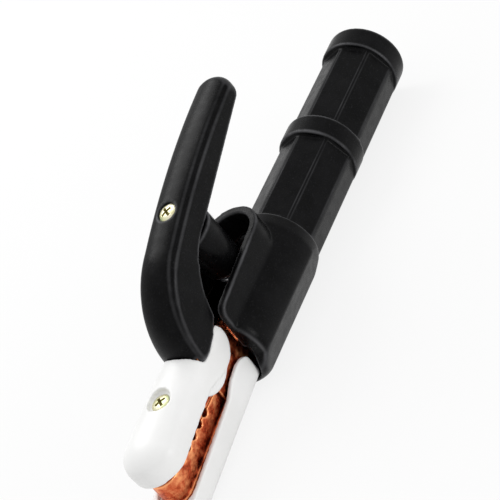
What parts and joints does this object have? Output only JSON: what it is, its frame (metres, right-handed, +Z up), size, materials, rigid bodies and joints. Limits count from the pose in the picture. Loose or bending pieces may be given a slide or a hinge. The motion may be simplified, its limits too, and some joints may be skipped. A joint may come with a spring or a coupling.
{
  "type": "welding electrode holder",
  "caption": "Spring-closed holder for welding electrodes: round grip, squeeze lever, guard with spring cup, grooved copper jaws under white insulators.",
  "frame": {"origin": "middle of the cable mouth in the rear face of the grip", "axes": "+X along the grip from the cable end to the jaws, +Z up on the lever side, +Y to the left seen from behind"},
  "size_m": [0.2407, 0.0374, 0.0856],
  "materials": {
    "black_moulding": "satin moulding",
    "white_moulding": "smooth glass-filled moulding",
    "jaw_copper": "bright casting",
    "socket_brass": "turned",
    "yellow_zinc": "yellow zinc plating",
    "plain_steel": "plain",
    "fibre_board": "hard fibre"
  },
  "bodies": {
    "holder": {"grip_sleeve": "black_moulding", "guard_shield": "black_moulding", "lower_jaw": "jaw_copper", "cable_socket": "socket_brass", "cable_screws": "plain_steel", "socket_lock_screw": "plain_steel", "grip_screw": "yellow_zinc", "guard_screw": "yellow_zinc", "spring_seat": "fibre_board", "return_spring": "plain_steel", "pivot_pin": "plain_steel", "hinge_washers": "plain_steel", "lower_insulator": "white_moulding", "lower_insulator_screw": "yellow_zinc"},
    "lever": {"upper_jaw": "jaw_copper", "pivot_bush": "socket_brass", "upper_insulator": "white_moulding", "upper_insulator_screw": "yellow_zinc", "lever_cover": "black_moulding", "lever_screw": "yellow_zinc", "spring_boss": "black_moulding"}
  },
  "joints": [
    {"name": "lever_hinge", "type": "hinge", "parent": "holder", "child": "lever", "pos_m": [0.1785, 0, 0.013], "axis": [0, -1, 0], "range_deg": [0, 15], "stiffness_Nm_per_rad": 8.8, "springref_deg": -17.19, "deforming": ["return_spring"]}
  ]
}
